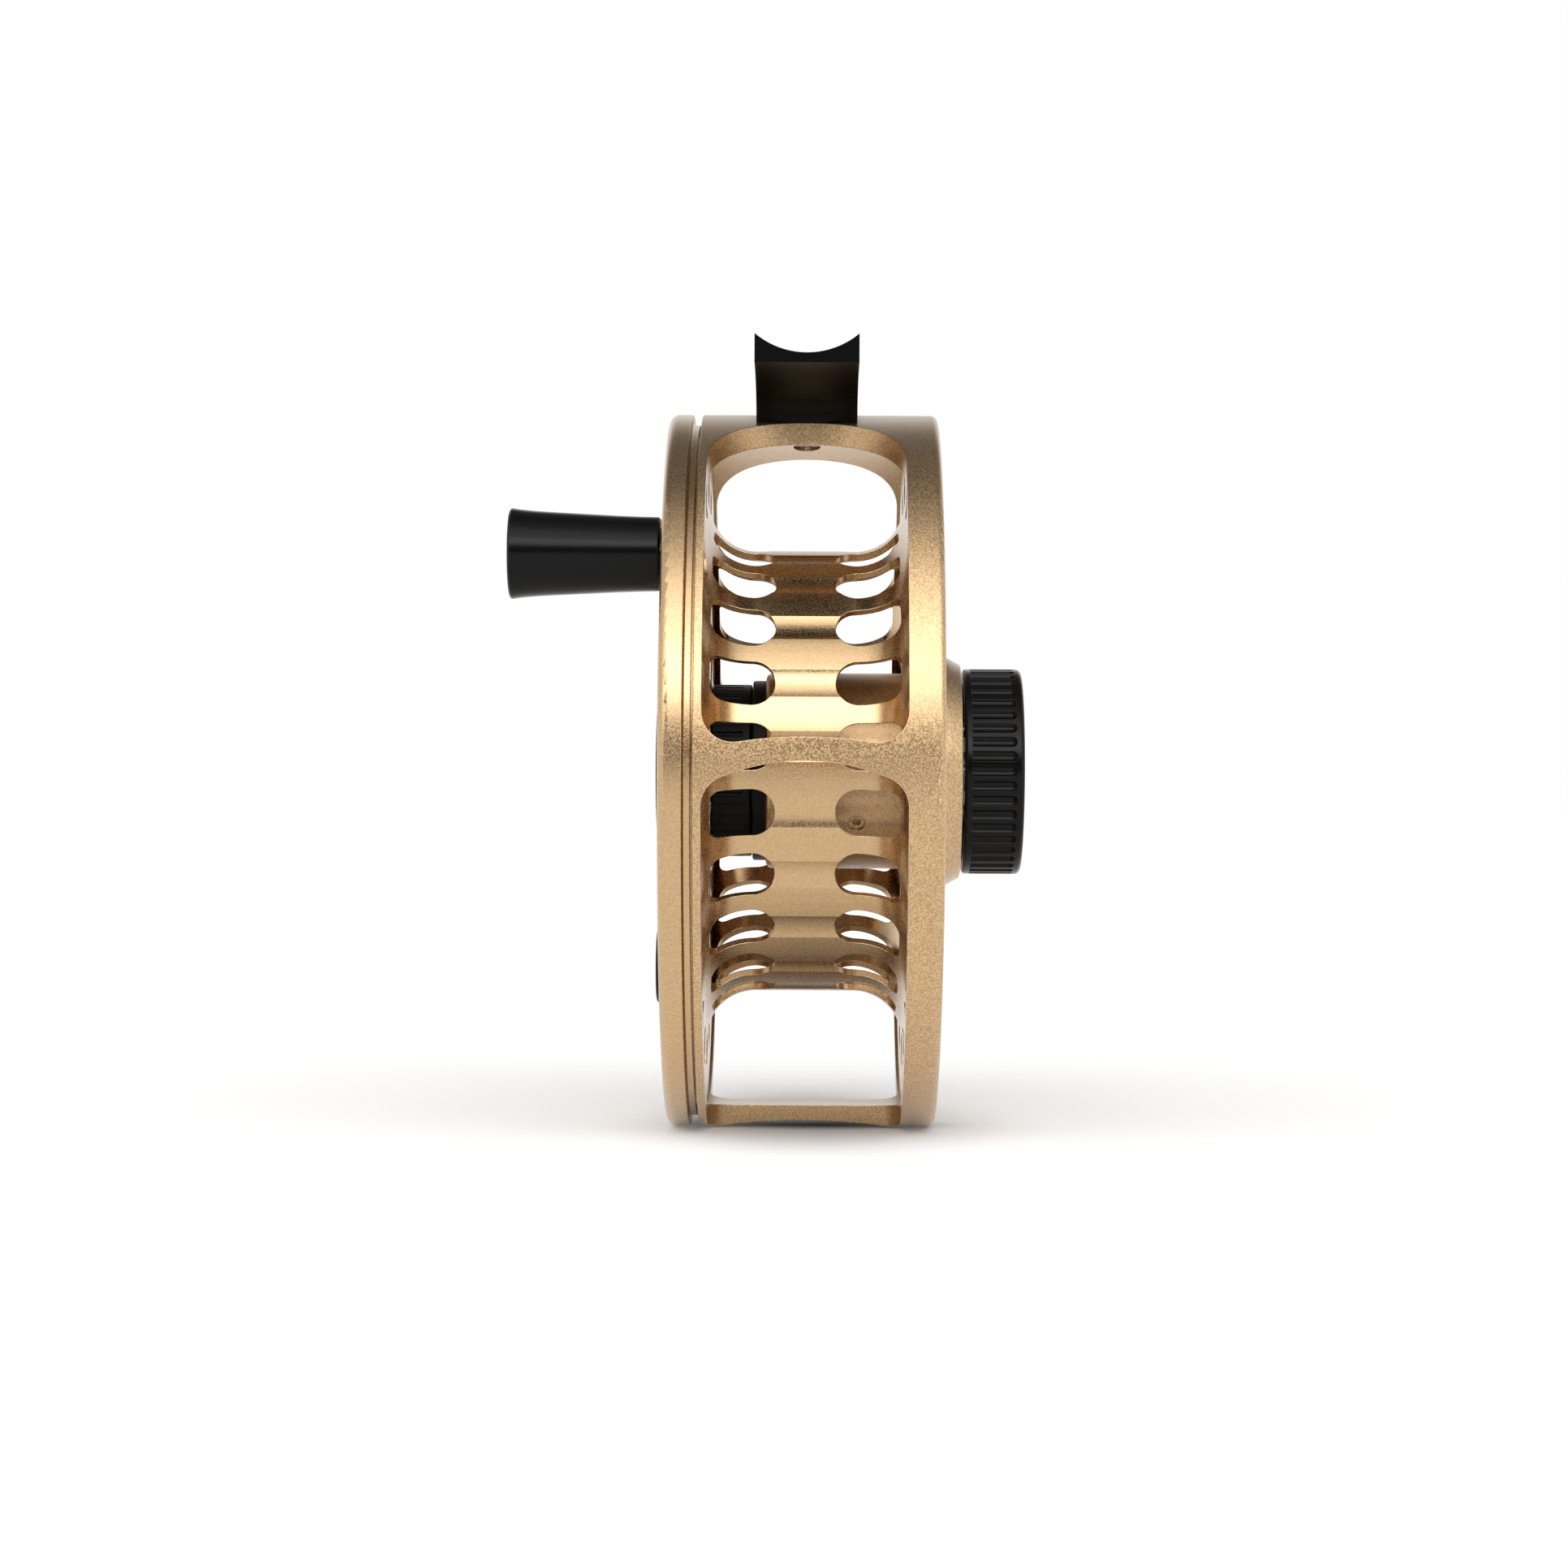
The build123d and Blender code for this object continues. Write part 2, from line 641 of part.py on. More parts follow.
def make_click_pawl():
    """A small pawl whose tip lies in a gap between two click teeth."""
    y, z = pawl_pivot()
    x0, x1 = drum_right - 1.3, drum_right - 0.2
    step = 2 * pi / CLICK_TEETH
    angle = step * 9
    tip = skirt_root - 0.22
    tip_y, tip_z = -tip * cos(angle), tip * sin(angle)
    root = tip - 1.15
    root_y, root_z = -root * cos(angle), root * sin(angle)
    boss = tube(x0, x1, 0.95, 0.5 + RUN, y, z)
    arm = make_face(
        Polyline(
            (-y, z + 0.75), (-tip_y, tip_z), (-tip_y - 0.5, tip_z - 0.45), (-root_y, root_z), (-y, z - 0.6),
            close=True,
        )
    )
    return boss + (side_plate(arm, x0, x1) - rod(x0 - 1, x1 + 1, 0.5 + RUN, y, z))


# ---- drag rotor ----
def make_drag_sleeve():
    """The steel sleeve that the clutch drives and the carbon discs are keyed to."""
    body = turned(
        (sleeve_left, SPINDLE_RADIUS + 0.7),
        (sleeve_left, SLEEVE_RADIUS, 0.15),
        (sleeve_right, SLEEVE_RADIUS, 0.15),
        (sleeve_right, SPINDLE_RADIUS + 0.7),
    )
    flat = Box(sleeve_right - stack_left + 1, 2, 12)
    for side in (-1, 1):
        body -= Pos((sleeve_right + stack_left + 1) / 2, side * (SLEEVE_RADIUS + 0.6), 0) * flat
    return body


def make_sleeve_bushing(x0):
    return tube(x0, x0 + 3.0, SPINDLE_RADIUS + 0.7, SPINDLE_RADIUS + RUN)


def make_carbon_disc(index):
    x0 = stack_left + (index + 1) * (STEEL_DISC + SLIP) + index * (CARBON_DISC + SLIP)
    bore = SLEEVE_RADIUS + RUN
    disc = tube(x0, x0 + CARBON_DISC, disc_radius, bore)
    key = rod(x0, x0 + CARBON_DISC, bore + 0.5)
    inside = Box(2 * CARBON_DISC, 2 * (SLEEVE_RADIUS - 0.4 + RUN), 4 * SLEEVE_RADIUS)
    return disc + (key - Pos(x0 + CARBON_DISC / 2, 0, 0) * inside)


def make_steel_disc(index):
    x0 = stack_left + index * (STEEL_DISC + CARBON_DISC + 2 * SLIP)
    disc = rod(x0, x0 + STEEL_DISC, housing_bore - RUN)
    disc += around(TAB_COUNT, tab(x0, x0 + STEEL_DISC, housing_bore, 0.9))
    return disc - rod(x0 - 1, x0 + STEEL_DISC + 1, SLEEVE_RADIUS + 0.3)


# ---- pressure train ----
def make_pressure_plate():
    plate = rod(pressure_left, pressure_right, housing_bore - RUN)
    plate += around(TAB_COUNT, tab(pressure_left, pressure_right, housing_bore, 0.9))
    return plate - rod(pressure_left - 1, pressure_right + 1, SPINDLE_RADIUS + 1.6)


thrust_left = boss_face + SLACK + 0.2
thrust_right = thrust_left + THRUST_WASHER
nut_left = thrust_right + SPRING_COUNT * SPRING_HEIGHT
nut_right = nut_left + NUT_LENGTH


def make_push_pins():
    pin = rod(pressure_right, thrust_left, PUSH_PIN_RADIUS, -PUSH_PIN_CIRCLE)
    return group(around(PUSH_PIN_COUNT, pin))


def make_thrust_washer():
    return tube(thrust_left, thrust_right, PUSH_PIN_CIRCLE + 1.0, SPINDLE_RADIUS + 0.3)


def make_disc_spring(index):
    """A coned spring washer; neighbours face opposite ways."""
    x0 = thrust_right + index * SPRING_HEIGHT
    cone = SPRING_HEIGHT - SPRING_STEEL
    rise, fall = (0.0, cone) if index % 2 else (cone, 0.0)
    return turned(
        (x0 + rise, SPINDLE_RADIUS + 0.3),
        (x0 + fall, 4.6),
        (x0 + fall + SPRING_STEEL, 4.6),
        (x0 + rise + SPRING_STEEL, SPINDLE_RADIUS + 0.3),
    )


# ---- knob ----
def hexagon(across, x0, x1):
    return side_plate(RegularPolygon(across / 2, 6, major_radius=False), x0, x1)


def make_adjuster_nut():
    bore = rod(nut_left - 1, nut_right + 1, SPINDLE_RADIUS + RUN)
    return hexagon(HEX_ACROSS - 2 * RUN, nut_left, nut_right) - bore


def make_knob():
    face_left = knob_right - KNOB_WALL
    body = turned(
        (knob_left, KNOB_RADIUS - KNOB_WALL),
        (knob_left, KNOB_RADIUS - 0.25, 0.2),
        (knob_left + 0.3, KNOB_RADIUS),
        (knob_right, KNOB_RADIUS, 0.7),
        (knob_right, 0),
        (face_left, 0),
        (face_left, KNOB_RADIUS - KNOB_WALL),
    )
    core = rod(nut_left - knob_travel - 0.3, face_left + 0.1, HEX_ACROSS / 2 + 1.8)
    socket = hexagon(HEX_ACROSS, nut_left - 5, face_left)
    body += core - socket
    body -= rod(face_left - 2, knob_right + 1, 1.5 + RUN)
    body -= rod(knob_right - 1.0, knob_right + 1, 3.0 + RUN)
    body += detent_tube()
    flute = rod(knob_left + KNOB_COLLAR, knob_right - FLUTE_RUNOUT, 0.75, -(KNOB_RADIUS + 0.35))
    end = Pos(knob_right - FLUTE_RUNOUT, -(KNOB_RADIUS + 0.35), 0) * Sphere(0.75)
    return body - around(KNOB_FLUTES, flute + end)


def detent_tube():
    """A boss inside the knob that guides the click ball and its spring."""
    return tube(
        knob_left + 0.5, knob_right - KNOB_WALL + 0.1, DETENT_BALL + 0.55, DETENT_BALL + RUN, -DETENT_CIRCLE
    )


def make_detent_ball():
    return Pos(knob_left + DETENT_BALL, -DETENT_CIRCLE, 0) * Sphere(DETENT_BALL)


def make_detent_spring():
    wire = 0.15
    start = knob_left + 2 * DETENT_BALL + wire + 0.02
    length = knob_right - KNOB_WALL - wire - 0.1 - start
    coil = Helix(length / 4, length, DETENT_BALL - wire - 0.03)
    bent = sweep(Plane(origin=coil @ 0, z_dir=coil % 0) * Circle(wire), path=coil)
    return Pos(start, -DETENT_CIRCLE, 0) * Rot(0, 90, 0) * bent


def make_knob_screw():
    """The screw at the knob's centre, in the end of the spindle."""
    head = rod(knob_right - 0.9, knob_right - 0.1, 3.0, 0, 0)
    neck = rod(knob_right - KNOB_WALL - 1.2, knob_right - 0.9, 1.5)
    shank = rod(knob_right - KNOB_WALL - 3.9, knob_right - KNOB_WALL - 1.2, 0.8)
    drive = side_plate(RegularPolygon(1.25, 6), knob_right - 0.6, knob_right + 1)
    return head + neck + shank - drive


# ---- spool ----
def spool_profile():
    top = flange_radius
    lip_in = lip_radius
    edges = Polyline(
        (rim_left, lip_in),
        (rim_left, REEL_RADIUS),
        (rim_right, REEL_RADIUS),
        (rim_right, REEL_RADIUS - STEP_DROP),
        (step_face, REEL_RADIUS - STEP_DROP),
        (step_face, top),
        (-half_bay, top),
        (-half_bay, ARBOR_RADIUS),
        (half_bay, ARBOR_RADIUS),
        (half_bay, top),
        (half_bay + FLANGE, top),
        (half_bay + FLANGE, arbor_bore),
        (-half_bay, arbor_bore),
        (-half_bay, HUB_RADIUS),
        (hub_right, HUB_RADIUS),
        (hub_right, NOSE_RADIUS + RUN),
        (hub_left, NOSE_RADIUS + RUN),
        (hub_left, HUB_RADIUS),
        (plate_left, HUB_RADIUS + 0.8),
        (plate_left, lip_in - 1.2),
        close=True,
    )
    face = make_face(edges)

    def rounded(face, x, radius, size):
        near = face.vertices().sort_by_distance((x, radius, 0))[0]
        return fillet(near, size)

    for x, radius, size in (
        (rim_left, REEL_RADIUS, RIM_ROUND),
        (rim_left, lip_in, 0.6),
        (rim_right, REEL_RADIUS, 0.2),
        (rim_right, REEL_RADIUS - STEP_DROP, 0.3),
        (-half_bay, ARBOR_RADIUS, ARBOR_FILLET),
        (half_bay, ARBOR_RADIUS, ARBOR_FILLET),
        (half_bay, top, 0.3),
    ):
        face = rounded(face, x, radius, size)
    return face - under_arbor()


def under_arbor():
    """The section of the hollow that follows the arbor's wall up into both flanges."""
    bottom = arbor_bore - 1
    top = ARBOR_RADIUS + ARBOR_FILLET
    right = half_bay + FLANGE + 1
    reach = half_bay + ARBOR_WALL
    space = Polyline((-half_bay, bottom), (right, bottom), (right, top), (-half_bay, top), close=True)
    corners = [(-reach, arbor_bore), (reach, arbor_bore), (reach, top + 1), (-reach, top + 1)]
    wall = Polyline(*corners, close=True)
    trough = make_face(wall)
    trough = fillet(trough.vertices().sort_by(Axis.Y)[:2], ARBOR_FILLET + ARBOR_WALL)
    return make_face(space) - trough


def arbor_hole():
    """The cutter for one arbor hole in front, on the +X side."""
    width = HOLE_OUTER - HOLE_INNER
    face = Pos((HOLE_INNER + HOLE_OUTER) / 2, 0) * Rectangle(width, HOLE_WIDTH)
    inner = [v for v in face.vertices() if v.X < HOLE_INNER + 0.1]
    face = fillet(inner, HOLE_WIDTH / 2 - 0.05)
    outer = [v for v in face.vertices() if v.X > HOLE_OUTER - 0.1]
    face = fillet(outer, HOLE_CORNER)
    return front_plate(face, arbor_bore - 4, flange_radius - 3)


def make_spool():
    body = revolve(spool_profile(), Axis.X)
    hole = arbor_hole()
    cutters = []
    flute_radius = (FLUTE_WIDTH / 2) ** 2 / (2 * FLUTE_DEPTH) + FLUTE_DEPTH / 2
    flute_centre = -(ARBOR_RADIUS - FLUTE_DEPTH + flute_radius)
    flute = rod(-HOLE_INNER - 1.5, HOLE_INNER + 1.5, flute_radius, flute_centre)
    lightening = slot_cutter(
        ARBOR_RADIUS + LIGHTENING_FROM_ARBOR + LIGHTENING_WIDTH / 2,
        LIGHTENING_WIDTH / 2 - 0.6,
        lip_radius - LIGHTENING_WIDTH / 2,
        LIGHTENING_WIDTH / 2,
        plate_left - 5,
        half_bay + FLANGE + 1,
    )
    lightening &= rod(plate_left - 5, half_bay + FLANGE + 1, lip_radius - LIGHTENING_BORDER)
    for i in range(HOLE_COUNT):
        angle = HOLE_PHASE + i * hole_pitch
        cutters += [turn(angle, hole), turn(angle, mirror(hole, about=Plane.YZ)), turn(angle, flute)]
        beside_boss = abs((angle - HANDLE_ANGLE + 90) % 180 - 90) < hole_pitch * 0.6
        if not beside_boss:
            cutters.append(turn(angle, lightening))
    body -= cutters
    hub_port = slot_cutter(
        HUB_RADIUS + 2.4 + HUB_PORT_IN_RADIUS,
        HUB_PORT_IN_RADIUS,
        arbor_bore - 1.1 - HUB_PORT_OUT_RADIUS,
        HUB_PORT_OUT_RADIUS,
        plate_left - 1,
        -half_bay + 1,
    )
    body -= around(HUB_PORT_COUNT, hub_port, HOLE_PHASE)
    pads = [
        rod(rim_left + 0.4, plate_left + 0.2, HANDLE_BASE + 1.0, handle_y, handle_z),
        rod(rim_left + 0.4, plate_left + 0.2, COUNTERWEIGHT_RADIUS + 1.0, -handle_y, -handle_z),
    ]
    body += pads
    body -= rod(rim_left - 1, -half_bay + 1, POST_RADIUS, handle_y, handle_z)
    body -= rod(-half_bay - 0.8, -half_bay + 1, POST_RADIUS + 1.2, handle_y, handle_z)
    body -= rod(rim_left - 4, -half_bay - 0.8, COUNTERWEIGHT_RADIUS, -handle_y, -handle_z)
    pin = rod(drum_left - 2.8, hub_right + 1, DRIVE_PIN_RADIUS + RUN, -DRIVE_PIN_CIRCLE)
    body -= around(DRIVE_PIN_COUNT, pin, 90)
    return body


def make_counterweight():
    outer = rim_left - COUNTERWEIGHT_PROUD
    body = rod(outer, -half_bay - 0.8, COUNTERWEIGHT_RADIUS, -handle_y, -handle_z)
    rim = body.faces().sort_by(Axis.X)[0].edges()
    return fillet(rim, 0.6)


def make_spool_cap():
    """The captive cap that screws onto the drive hub's nose and keeps the spool on."""
    body = turned(
        (cap_left, 0),
        (cap_left, 9.6, 0.5),
        (cap_right, 10.2, 0.3),
        (cap_right, CAP_THREAD_RADIUS + RUN),
        (thread_end - 0.15, CAP_THREAD_RADIUS + RUN),
        (thread_end - 0.15, 0),
    )
    grip = rod(cap_left - 1, cap_right + 1, 1.1, -10.7)
    coin_slot = Pos(cap_left, 0, 0) * Box(0.8, 12, 1.6)
    return body - around(12, grip) - coin_slot


# ---- handle ----
def at_handle(shape):
    return Pos(0, handle_y, handle_z) * shape


def make_handle_post():
    """A shouldered post riveted through the spool plate; the grip turns on it."""
    body = turned(
        (handle_left + 3.2, 0),
        (handle_left + 3.2, POST_RADIUS, 0.2),
        (-half_bay - 0.8, POST_RADIUS),
        (-half_bay - 0.8, POST_RADIUS + 1.2),
        (-half_bay, POST_RADIUS + 1.2, 0.3),
        (-half_bay, 0),
    )
    return at_handle(body - rod(handle_left + 3, handle_left + 8.0, 0.8))


def make_handle_grip():
    outer_bore = POST_RADIUS + RUN + BUSHING_WALL
    waist = Spline(
        (handle_left + 0.25, HANDLE_END),
        (handle_left + 6.5, HANDLE_BASE + 0.48),
        (handle_right - 0.3, HANDLE_BASE),
        tangents=((1, -0.16), (1, -0.01)),
    )
    edges = [
        Line((handle_left, 0), (handle_left, HANDLE_END - 0.25)),
        Line((handle_left, HANDLE_END - 0.25), (handle_left + 0.25, HANDLE_END)),
        waist,
        Line((handle_right - 0.3, HANDLE_BASE), (handle_right, HANDLE_BASE - 0.3)),
        Line((handle_right, HANDLE_BASE - 0.3), (handle_right, 0)),
        Line((handle_right, 0), (handle_left, 0)),
    ]
    body = revolve(make_face(edges), Axis.X)
    bore = rod(handle_left - 1, handle_right + 1, outer_bore)
    return at_handle(body - bore)


def make_handle_end_cap():
    """A disc pressed flush into the grip's free end, over the screw."""
    return at_handle(rod(handle_left, handle_left + 1.2, POST_RADIUS + RUN + BUSHING_WALL))


def make_handle_bushing():
    """An acetal sleeve pressed in the grip, which runs on the post."""
    outer_bore = POST_RADIUS + RUN + BUSHING_WALL
    return at_handle(tube(handle_left + 3.6, handle_right, outer_bore, POST_RADIUS + RUN))


def make_handle_washer():
    """A thin washer between the grip and the spool's boss."""
    return at_handle(tube(handle_right + SLIP, rim_left + 0.4, POST_RADIUS + 1.2, POST_RADIUS))


def make_handle_screw():
    """The screw and its wide head, which keep the grip on the post."""
    head = rod(handle_left + 1.9, handle_left + 3.2, POST_RADIUS + 0.5)
    shank = rod(handle_left + 3.2, handle_left + 7.0, 0.8)
    slot = Pos(handle_left + 1.9, 0, 0) * Box(1.0, 6, 0.7)
    return at_handle(head + shank - slot)


# ---- build and save ----
def build():
    pieces = {
        "frame": make_frame(),
        "reel_foot": make_foot(),
        "foot_screws": make_foot_screws(),
        "drag_housing": make_housing(),
        "housing_screws": make_housing_screws(),
        "housing_set_screw": make_set_screw(),
        "housing_cover": make_cover(),
        "cover_o_ring": make_cover_o_ring(),
        "shaft_seal": make_shaft_seal(),
        "spindle": make_spindle(),
        "bearing_clip": make_bearing_clip(),
        "hub_bearing_inner_race": make_bearing_inner(),
        "hub_bearing_outer_race": make_bearing_outer(),
        "hub_bearing_balls": make_bearing_balls(),
        "drive_hub": make_drive_hub(),
        "drive_pins": make_drive_pins(),
        "clutch_cup": make_clutch_cup(),
        "clutch_rollers": make_clutch_rollers(),
        "clutch_cage": make_clutch_cage(),
        "click_pawl": make_click_pawl(),
        "click_pawl_pin": make_click_pin(),
        "drag_sleeve": make_drag_sleeve(),
        "sleeve_bushing_left": make_sleeve_bushing(sleeve_left),
        "sleeve_bushing_right": make_sleeve_bushing(sleeve_right - 3.0),
        "pressure_plate": make_pressure_plate(),
        "push_pins": make_push_pins(),
        "thrust_washer": make_thrust_washer(),
        "adjuster_nut": make_adjuster_nut(),
        "drag_knob": make_knob(),
        "detent_ball": make_detent_ball(),
        "detent_spring": make_detent_spring(),
        "knob_screw": make_knob_screw(),
        "spool": make_spool(),
        "counterweight": make_counterweight(),
        "spool_cap": make_spool_cap(),
        "handle_post": make_handle_post(),
        "handle_grip": make_handle_grip(),
        "handle_end_cap": make_handle_end_cap(),
        "handle_bushing": make_handle_bushing(),
        "handle_washer": make_handle_washer(),
        "handle_screw": make_handle_screw(),
    }
    for i in range(STEEL_COUNT):
        pieces[f"steel_drag_disc_{i + 1}"] = make_steel_disc(i)
    for i in range(CARBON_COUNT):
        pieces[f"carbon_drag_disc_{i + 1}"] = make_carbon_disc(i)
    for i in range(SPRING_COUNT):
        pieces[f"disc_spring_{i + 1}"] = make_disc_spring(i)
    return pieces


os.makedirs("parts", exist_ok=True)
for name, shape in build().items():
    save(shape, name)
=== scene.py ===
import json
from math import pi, radians

import bpy
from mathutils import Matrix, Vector


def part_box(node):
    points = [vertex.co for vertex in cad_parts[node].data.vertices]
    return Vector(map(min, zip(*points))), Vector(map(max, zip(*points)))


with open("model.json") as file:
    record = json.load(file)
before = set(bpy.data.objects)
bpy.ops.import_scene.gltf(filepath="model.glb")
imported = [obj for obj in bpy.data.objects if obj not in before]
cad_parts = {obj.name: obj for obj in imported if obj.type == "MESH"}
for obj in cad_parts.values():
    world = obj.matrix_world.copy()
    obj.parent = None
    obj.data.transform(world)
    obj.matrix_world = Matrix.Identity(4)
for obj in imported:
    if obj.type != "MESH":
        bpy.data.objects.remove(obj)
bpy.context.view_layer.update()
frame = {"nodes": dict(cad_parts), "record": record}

MM = 0.001
nodes = frame["nodes"]


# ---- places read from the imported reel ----
def centre(node):
    low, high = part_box(node)
    return (Vector(low) + Vector(high)) / 2


frame_low, frame_high = (Vector(corner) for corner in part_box("frame"))
spin_z = centre("drag_housing").z
reel_radius = (frame_high.y - frame_low.y) / 2
floor_z = spin_z - reel_radius


# ---- shader maths ----
class Value:
    """A number in a shader. Sums on it add Math nodes."""

    def __init__(self, finish, socket):
        self.finish, self.socket = finish, socket

    def maths(self, operation, *others):
        inputs = dict(enumerate((self, *others)))
        return self.finish.node("ShaderNodeMath", {"operation": operation}, inputs)

    def __add__(self, other):
        return self.maths("ADD", other)

    def __sub__(self, other):
        return self.maths("SUBTRACT", other)

    def __mul__(self, other):
        return self.maths("MULTIPLY", other)

    def __rsub__(self, other):
        return (self * -1) + other

    __radd__, __rmul__ = __add__, __mul__

    def spread(self, low, high, low_to=0.0, high_to=1.0):
        """Stretch the range from low to high onto another, held at its ends."""
        settings = {"clamp": True}
        inputs = {"Value": self, "From Min": low, "From Max": high, "To Min": low_to, "To Max": high_to}
        return self.finish.node("ShaderNodeMapRange", settings, inputs, "Result")


class Finish:
    """A material made from one Principled surface and the nodes that feed it."""

    def __init__(self, name, **constants):
        self.material = bpy.data.materials.new(name)
        self.material.use_nodes = True
        self.tree = self.material.node_tree
        self.surface = self.tree.nodes["Principled BSDF"]
        for socket, value in constants.items():
            self.surface.inputs[socket.replace("_", " ")].default_value = value
        self.place = self.node("ShaderNodeTexCoord", {}, {}, "Object")

    def node(self, kind, settings, inputs, output=0):
        made = self.tree.nodes.new(kind)
        for name, value in settings.items():
            setattr(made, name, value)
        for name, value in inputs.items():
            if isinstance(value, Value):
                self.tree.links.new(value.socket, made.inputs[name])
            else:
                made.inputs[name].default_value = value
        return Value(self, made.outputs[output])

    def feed(self, socket, value):
        self.tree.links.new(value.socket, self.surface.inputs[socket])

    def noise(self, scale, detail=2.0, roughness=0.5, place=None):
        inputs = {"Vector": place or self.place, "Scale": scale, "Detail": detail, "Roughness": roughness}
        return self.node("ShaderNodeTexNoise", {}, inputs, "Fac")

    def stretched(self, x, y, z):
        inputs = {"Vector": self.place, "Scale": (x, y, z)}
        return self.node("ShaderNodeMapping", {}, inputs)

    def blend(self, factor, first, second):
        made = self.tree.nodes.new("ShaderNodeMix")
        made.data_type = "RGBA"
        self.tree.links.new(factor.socket, made.inputs[0])
        for index, colour in ((6, first), (7, second)):
            if isinstance(colour, Value):
                self.tree.links.new(colour.socket, made.inputs[index])
            else:
                made.inputs[index].default_value = (*colour, 1.0)
        return Value(self, made.outputs[2])

    def bump(self, height, distance, strength=1.0, normal=None):
        inputs = {"Height": height, "Distance": distance, "Strength": strength}
        if normal:
            inputs["Normal"] = normal
        return self.node("ShaderNodeBump", {}, inputs)

    def soft_edges(self, radius):
        return self.node("ShaderNodeBevel", {"samples": 6}, {"Radius": radius})


# ---- finishes ----
GOLD = (0.565, 0.372, 0.186)
EDGE_HIGHLIGHT_GOLD = (0.86, 0.66, 0.42)
EDGE_BREAK = 0.14 * MM
EDGE_TURN = (0.012, 0.16)  # how far the normal turns where the painted edge highlight on gold and the lighter edges on black begin, and where they are full
TOW_PITCH = 1.4 * MM


def edge_highlight_and_wear_mask(finish, normal):
    """Where the softened normal has turned from the flat one: 0 on a face, 1 along an edge. It places the
    painted edge highlight on gold and the lighter edges on black.
    """
    flat = finish.node("ShaderNodeNewGeometry", {}, {}, "Normal")
    along = finish.node("ShaderNodeVectorMath", {"operation": "DOT_PRODUCT"}, {0: normal, 1: flat}, "Value")
    return (1 - along).spread(*EDGE_TURN)


def blasted_gold(name, roughness, grain):
    """Anodised aluminium with a fine blasted grain, and a painted highlight of lighter gold along its
    edges.
    """
    finish = Finish(name, Metallic=1.0, Coat_Weight=0.8, Coat_Roughness=0.3)
    fine = finish.noise(4800.0, 1.0)
    coarse = finish.noise(2400.0, 2.0)
    cloud = finish.noise(60.0, 3.0)
    sparkle = (fine * 0.85 + coarse * 0.15).spread(0.38, 0.62)
    dark = [c * (1 - 0.27 * grain) for c in GOLD]
    light = [c * (1 + 0.22 * grain) for c in GOLD]
    edges = finish.soft_edges(EDGE_BREAK)
    edge_highlight_and_wear = edge_highlight_and_wear_mask(finish, edges)
    # painted highlight: the base colour turns to the lighter edge-highlight gold along edges
    finish.feed("Base Color", finish.blend(edge_highlight_and_wear * 0.75, finish.blend(sparkle, dark, light), EDGE_HIGHLIGHT_GOLD))
    mottle = cloud.spread(0.3, 0.7, -0.02, 0.02)
    finish.feed("Roughness", sparkle * 0.10 + (roughness - 0.05) + mottle - edge_highlight_and_wear * 0.08)
    finish.feed("Normal", finish.bump(fine * 0.5 + coarse * 0.5, 0.02 * MM, 0.5 * grain, edges))
    return finish.material


def satin_black(name, level, roughness, shine):
    """Dyed black part, a little lighter along its edges."""
    finish = Finish(name, Specular_IOR_Level=shine)
    grain = finish.noise(6000.0, 2.0)
    edges = finish.soft_edges(EDGE_BREAK)
    edge_highlight_and_wear = edge_highlight_and_wear_mask(finish, edges)
    dark, light = [level * 0.7] * 3, [level * 1.3] * 3
    lighter_edge = [level * 1.3 + 0.02] * 3
    finish.feed("Base Color", finish.blend(edge_highlight_and_wear, finish.blend(grain, dark, light), lighter_edge))
    finish.feed("Roughness", grain * 0.08 + (roughness - 0.04))
    finish.feed("Normal", finish.bump(grain, 0.01 * MM, 0.4, edges))
    return finish.material


def turned_metal(name, colour, roughness, marks=300.0):
    """Bare metal with the fine rings that a lathe tool leaves along the spin axis."""
    finish = Finish(name, Metallic=1.0)
    rings = finish.noise(3.0, 2.0, place=finish.stretched(10 * marks, marks / 10, marks / 10))
    grain = finish.noise(4000.0, 2.0)
    shade = (rings * 0.6 + grain * 0.4).spread(0.3, 0.7)
    edges = finish.soft_edges(EDGE_BREAK)
    finish.feed("Base Color", finish.blend(shade, [c * 0.82 for c in colour], colour))
    finish.feed("Roughness", shade * 0.12 + (roughness - 0.06))
    finish.feed("Normal", finish.bump(rings, 0.006 * MM, 0.5, edges))
    return finish.material


def moulded(name, colour, roughness, mottle):
    """Plastic or rubber with a faint moulded mottle."""
    finish = Finish(name, Specular_IOR_Level=0.4)
    cloud = finish.noise(900.0, 3.0)
    finish.feed("Base Color", finish.blend(cloud, [c * (1 - mottle) for c in colour], colour))
    finish.feed("Roughness", cloud * 0.1 + (roughness - 0.05))
    skin = finish.noise(5000.0, 2.0)
    finish.feed("Normal", finish.bump(skin, 0.008 * MM, 0.4, finish.soft_edges(EDGE_BREAK)))
    return finish.material


def woven_carbon(name):
    """Carbon fibre in a two-way weave, seen on the flat faces of the drag discs."""
    finish = Finish(name, Specular_IOR_Level=0.5)
    warp = finish.node("ShaderNodeSeparateXYZ", {}, {"Vector": finish.place}, "Y")
    weft = finish.node("ShaderNodeSeparateXYZ", {}, {"Vector": finish.place}, "Z")
    tow = 2 * pi / TOW_PITCH
    weave = (warp * tow).maths("SINE") * (weft * tow).maths("SINE")
    strand = weave.spread(-0.25, 0.25)
    fibre = finish.noise(3000.0, 2.0)
    finish.feed("Base Color", finish.blend(strand, (0.012, 0.012, 0.013), (0.045, 0.046, 0.05)))
    finish.feed("Roughness", fibre * 0.15 + strand * 0.12 + 0.28)
    finish.feed("Normal", finish.bump(weave * 0.6 + fibre * 0.4, 0.04 * MM, 0.6))
    return finish.material


